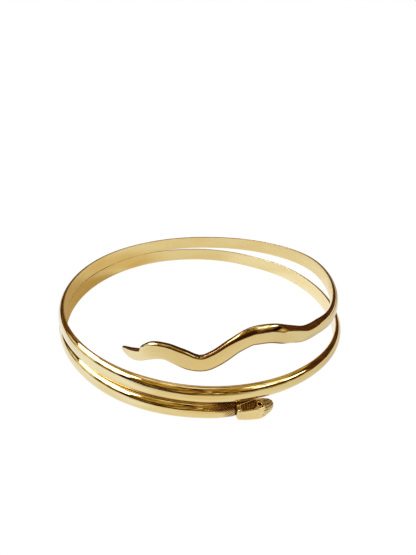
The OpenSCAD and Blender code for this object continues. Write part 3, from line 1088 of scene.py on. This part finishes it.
# %% What stands in the room
# Azimuth and elevation of the card's middle, half its width and height and its softness in
# degrees, slope, brightness
CARDS = [
    [-125, 45, 17, 25, 8, 0, 0.42], [-115, 20, 28, 8, 6, 0, 0.13],
    [-82, 42, 24, 30, 8, 0, 0.3], [-84, 13, 9, 4, 2, 0, 0.7], [-92, 52, 5, 10, 3, 0, 0.03],
    [-107, 62, 5, 5, 2, 0, 0.03], [-76, 24, 6, 3, 2, 0, 0.02], [-66, 14, 4, 3, 2, 0, 0.02],
    [-83, 30, 0.7, 1.6, 1, 0, 2], [-55, 14, 7, 2, 2, 0, 2.5], [90, 12, 50, 16, 8, 0, 0.2],
    [90, 66, 60, 22, 8, 0, 1.0], [-120, 80, 70, 13, 6, 0, 0.95],
    [30, 22, 35, 24, 8, 0, 0.09], [35, 58, 32, 12, 6, 0, 0.42], [-28, 40, 22, 17, 4, 0, 0.8],
    [-38, 34, 9, 4, 2, -0.1, 5], [-14, 30, 9, 5, 2, -0.1, 5], [-36, 53, 12, 3, 2, 0, 2.5],
    [-17, 41, 8, 3, 2, 0, 2.5], [-36, 20, 26, 4, 2, 0, 0.15], [-34, 12, 28, 5, 2, 0, 0.01],
    [135, 15, 20, 15, 6, 0, 0.12], [187, 36.5, 35, 14.5, 3, 0.05, 6],
    [150, 28, 27, 17, 3, -0.92, 0.13], [131, 50, 3, 8, 3, 0, 0.5],
    [146, 56, 5, 20, 3, 0, 0.65], [-172, 14, 28, 7, 3, 0, 0.85],
    [-150, 12, 16, 4, 2, -0.12, 0.03], [-108, 3, 36, 5, 2, -0.08, 0.02]]
# Brightness between the cards
ROOM_BRIGHT = 0.45
print("the room has", len(CARDS), "cards")

# %% The room's brightness
# How far the noise shifts a card's edge, in degrees, and what the blotches do: the part of
# their noise that counts, and the brightness that it gives
WOBBLE = 7
BLOTCHES = {1: 0.36, 2: 0.64, 3: 0.35, 4: 1.6}
world = bpy.data.worlds.new("room")
bpy.context.scene.world = world
world.use_nodes = True
world.cycles_visibility.diffuse = False
tree = world.node_tree
tree.nodes.clear()
way = add(tree, "TexCoord").outputs["Generated"]
shift = add(tree, "SeparateXYZ", {0: noise(tree, way, 6.0, 4.0)["Color"]}).outputs
parts = add(tree, "SeparateXYZ", {0: way}).outputs
turned = (maths(tree, "DEGREES", maths(tree, "ARCTAN2", parts[1], parts[0])),
          maths(tree, "DEGREES", maths(tree, "ARCSINE", parts[2])))
azimuth, elevation = (
    maths(tree, "ADD", angle, maths(
        tree, "MULTIPLY", maths(tree, "SUBTRACT", amount, 0.5), size))
    for angle, amount, size in zip(turned, shift, (2 * WOBBLE, WOBBLE)))
bright = laid(tree, azimuth, elevation, CARDS, 6, ROOM_BRIGHT)
blotch = add(tree, "MapRange", {0: noise(tree, way, 9.0, 4.0)["Fac"], **BLOTCHES})
bright = maths(tree, "MULTIPLY", bright, blotch.outputs[0])
print("the room's brightness has", len(tree.nodes), "nodes")

# %% The room's colours
ROOM_COLOURS = [[0, (0, 0, 0)], [0.05, (0.05, 0.012, 0.004)], [0.14, (0.14, 0.058, 0.02)],
                [0.55, (0.62, 0.43, 0.08)], [0.85, (0.8, 0.75, 0.6)], [1, (1, 1, 1)]]
ramp = add(tree, "ValToRGB", {0: bright})
stops = ramp.color_ramp.elements
while len(stops) < len(ROOM_COLOURS):
    stops.new(0.5)
for stop, (at, colour) in zip(stops, ROOM_COLOURS):
    stop.position, stop.color = at, (*colour, 1)
room = add(tree, "Background", {
    "Color": ramp.outputs[0], "Strength": maths(tree, "MAXIMUM", bright, 1.0)})
sky = add(tree, "Background", {"Color": (1, 1, 1, 1)})
seen = add(tree, "LightPath").outputs["Is Camera Ray"]
either = add(tree, "MixShader", {0: seen, 1: room.outputs[0], 2: sky.outputs[0]})
add(tree, "OutputWorld", {"Surface": either.outputs[0]})
bpy.context.scene.view_settings.view_transform = "Standard"
print("the room goes through", len(ROOM_COLOURS), "colours")
